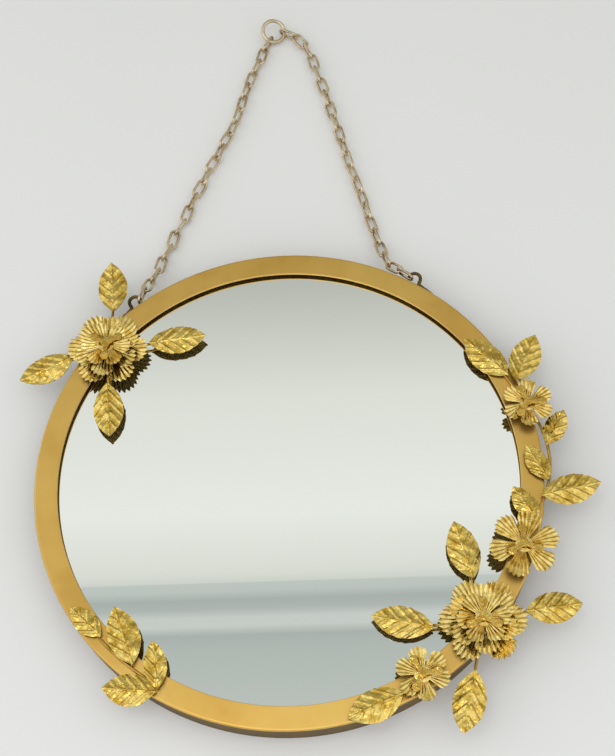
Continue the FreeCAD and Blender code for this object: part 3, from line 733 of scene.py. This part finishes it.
# stage in metres, its pattern in millimetres: a pale paper floor, a glowing cloth roof and two lamps
stage = {"floorSize": 8, "floorDrop": 0.0003, "floorStops": ((0, "#E7E7E6"), (1, "#EDEDEC")),
         "cloudSize": 400, "cloudDetail": 2, "floorRough": 0.8,
         "roofHeight": 1.5, "roofTurn": -3.9, "roofEdge": 0.409, "roofWidth": 7, "roofGlow": 1.15}
# colours at distances from the roof's edge line
roofs = {
    "roof_back": {"near": 0, "far": 4, "stops": (
        (0, "#CDD0CB"), (0.014, "#CDD0CB"), (0.016, "#D9DBD6"), (0.03, "#DADCD7"), (0.13, "#E6E8E4"),
        (0.36, "#DBDDD8"), (0.59, "#B7B9B3"), (4, "#8E908C"))},
    "roof_front": {"near": -4, "far": 0, "stops": (
        (-4, "#DADCDA"), (-1.2, "#FFFFFF"), (-0.27, "#FFFFFF"), (-0.23, "#BAC0BC"), (-0.19, "#B7BDBA"),
        (-0.12, "#B0B7B4"), (-0.089, "#A8B0AD"), (-0.086, "#C6CAC8"), (-0.058, "#C5C9C7"),
        (-0.055, "#B0B7B5"), (-0.021, "#A5ACAA"), (-0.018, "#BBC1BF"), (0, "#BEC4C2"))},
}
lamps = {
    "left_lamp": {"power": 2.5, "size": 1.1, "place": (-1.5, 0.7, 1.1), "tilt": (-24, -52, 0)},
    "front_lamp": {"power": 0.7, "size": 0.3, "place": (-0.2, -0.15, 1.4), "tilt": (0, 0, 0)},
}


def makeFloor():
    bpy.ops.mesh.primitive_plane_add(size=stage["floorSize"], location=(0, 0, -stage["floorDrop"]))
    floor = bpy.context.object
    floor.name = "floor"
    # pale paper: matt, with faint wide clouds
    material, where = newMaterial("pale_paper_floor")
    cloud = addNode(material, "ShaderNodeTexNoise", {
        "Vector": where, "Scale": perMetre(stage["cloudSize"]), "Detail": stage["cloudDetail"]})
    ramp = addNode(material, "ShaderNodeValToRGB", {"Fac": cloud.outputs["Fac"]}, stops=stage["floorStops"])
    shader = addNode(material, "ShaderNodeBsdfPrincipled", {
        "Base Color": ramp.outputs["Color"], "Roughness": stage["floorRough"]})
    addNode(material, "ShaderNodeOutputMaterial", {"Surface": shader.outputs[0]})
    floor.data.materials.append(material)


def makeRoof(name, near, far, stops):
    bpy.ops.mesh.primitive_plane_add(size=1, location=(0, 0, 0))
    roof = bpy.context.object
    roof.name = name
    startPiece(roof)
    roof.scale = (stage["roofWidth"], far - near, 1)
    roof.location = (0, (near + far) / 2, 0)
    bpy.ops.object.transform_apply(location=True, rotation=True, scale=True)
    roof.location = (0, stage["roofEdge"], stage["roofHeight"])
    roof.rotation_euler = (math.pi, 0, math.radians(stage["roofTurn"]))
    roof.scale = (1, -1, 1)
    # glowing cloth in bands along the edge line
    material, where = newMaterial(name + "_cloth")
    split = addNode(material, "ShaderNodeSeparateXYZ", {"Vector": where})
    along = addNode(material, "ShaderNodeMapRange", {
        "Value": split.outputs["Y"], "From Min": near, "From Max": far})
    shares = [((place - near) / (far - near), text) for place, text in stops]
    ramp = addNode(material, "ShaderNodeValToRGB", {"Fac": along.outputs[0]}, stops=shares)
    glow = addNode(material, "ShaderNodeEmission", {
        "Color": ramp.outputs["Color"], "Strength": stage["roofGlow"]})
    addNode(material, "ShaderNodeOutputMaterial", {"Surface": glow.outputs[0]})
    roof.data.materials.append(material)


def makeLamp(name, power, size, place, tilt):
    data = bpy.data.lights.new(name, "AREA")
    data.energy = power
    data.size = size
    lamp = bpy.data.objects.new(name, data)
    lamp.location = place
    lamp.rotation_euler = [math.radians(angle) for angle in tilt]
    bpy.context.scene.collection.objects.link(lamp)


makeFloor()
for name, roof in roofs.items():
    makeRoof(name, roof["near"], roof["far"], roof["stops"])
for name, lamp in lamps.items():
    makeLamp(name, lamp["power"], lamp["size"], lamp["place"], lamp["tilt"])

# room round the stage: lighter on the left and overhead, darker on the right and low down
room = {"wallStops": ((0, "#F6F6F4"), (1, "#D8D7D4")), "sideReach": 0.8, "fullHeight": 0.45,
        "lowLight": 0.75, "fullLight": 1}
world = bpy.data.worlds.new("studio")
world.use_nodes = True
world.node_tree.nodes.clear()
way = addNode(world, "ShaderNodeTexCoord", {}).outputs["Generated"]
split = addNode(world, "ShaderNodeSeparateXYZ", {"Vector": way})
side = addNode(world, "ShaderNodeMapRange", {
    "Value": split.outputs["X"], "From Min": -room["sideReach"], "From Max": room["sideReach"]})
walls = addNode(world, "ShaderNodeValToRGB", {"Fac": side.outputs[0]}, stops=room["wallStops"])
level = addNode(world, "ShaderNodeMapRange", {
    "Value": split.outputs["Z"], "From Max": room["fullHeight"],
    "To Min": room["lowLight"], "To Max": room["fullLight"]})
air = addNode(world, "ShaderNodeBackground", {"Color": walls.outputs["Color"], "Strength": level.outputs[0]})
addNode(world, "ShaderNodeOutputWorld", {"Surface": air.outputs[0]})
bpy.context.scene.world = world
bpy.context.scene.view_settings.view_transform = "Standard"

# camera at the photograph's place
view = {"place": (0.01993, -0.3737, 0.9309), "turn": (26.06, 2.453, -5.0), "lens": 67.95, "sensor": 36}
cameraData = bpy.data.cameras.new("camera")
cameraData.lens = view["lens"]
cameraData.sensor_width = view["sensor"]
camera = bpy.data.objects.new("camera", cameraData)
camera.location = view["place"]
camera.rotation_euler = [math.radians(angle) for angle in view["turn"]]
bpy.context.scene.collection.objects.link(camera)
bpy.context.scene.camera = camera
print("stage and camera set")
